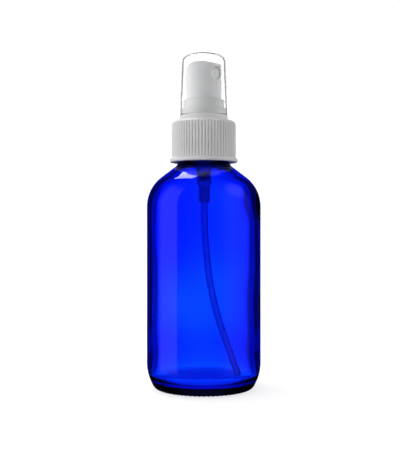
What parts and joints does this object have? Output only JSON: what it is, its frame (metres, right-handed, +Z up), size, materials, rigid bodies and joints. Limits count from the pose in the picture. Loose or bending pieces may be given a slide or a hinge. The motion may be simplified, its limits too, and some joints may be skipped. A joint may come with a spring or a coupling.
{
  "type": "spray bottle",
  "caption": "Round-shouldered glass bottle with a ribbed screw closure, a fine mist pump with a curved dip tube, a side-nozzle press actuator and a clear overcap.",
  "frame": {"origin": "centre of the base, on the surface the bottle stands on", "axes": "+Z up along the bottle's axis; the dip tube curls towards +X; the nozzle points between +X and -Y, 47 degrees from +X"},
  "size_m": [0.0484, 0.0484, 0.1422],
  "materials": {
    "cobalt_glass": "transparent cobalt blue, glossy",
    "white_plastic": "satin white polypropylene",
    "clear_plastic": "clear polished styrene",
    "natural_plastic": "natural translucent polypropylene",
    "soft_plastic": "natural translucent polyethylene",
    "gasket_foam": "white polyethylene foam",
    "seal_rubber": "black nitrile",
    "steel": "bright stainless steel"
  },
  "bodies": {
    "bottle": {"bottle": "cobalt_glass"},
    "pump": {"turret": "white_plastic", "neck_gasket": "gasket_foam", "pump_housing": "natural_plastic", "ball_retainer": "natural_plastic", "return_spring": "steel", "stem_seal": "seal_rubber", "stem_guide": "natural_plastic", "dip_tube": "soft_plastic"},
    "closure": {"closure": "white_plastic"},
    "stem": {"stem": "natural_plastic", "valve_pin": "natural_plastic", "precompression_spring": "steel"},
    "piston": {"piston": "soft_plastic"},
    "head": {"actuator": "white_plastic", "orifice_insert": "white_plastic"},
    "ball": {"check_ball": "steel"},
    "overcap": {"overcap": "clear_plastic"}
  },
  "joints": [
    {"name": "pump_lift", "type": "slide", "parent": "bottle", "child": "pump", "axis": [0, 0, 1], "range_m": [0, 0.004]},
    {"name": "closure_turn", "type": "hinge", "parent": "pump", "child": "closure", "pos_m": [0, 0, 0.104], "axis": [0, 0, 1], "range_deg": [0, 450]},
    {"name": "actuator_press", "type": "slide", "parent": "pump", "child": "stem", "axis": [0, 0, -1], "range_m": [0, 0.0045], "stiffness_N_per_m": 900, "springref_m": -0.003, "deforming": ["return_spring"]},
    {"name": "piston_slip", "type": "slide", "parent": "stem", "child": "piston", "axis": [0, 0, 1], "range_m": [0, 0.0005], "stiffness_N_per_m": 1500, "springref_m": -0.001, "deforming": ["precompression_spring"]},
    {"name": "actuator_swivel", "type": "hinge", "parent": "stem", "child": "head", "pos_m": [0, 0, 0.1276], "axis": [0, 0, 1], "continuous": true},
    {"name": "ball_lift", "type": "slide", "parent": "pump", "child": "ball", "axis": [0, 0, 1], "range_m": [0, 0.0014]},
    {"name": "overcap_lift", "type": "slide", "parent": "pump", "child": "overcap", "axis": [0, 0, 1], "range_m": [0, 0.03]}
  ],
  "couplings": [
    {"joint": "pump_lift", "follows": "closure_turn", "m_per_rad": 0.00050532}
  ]
}
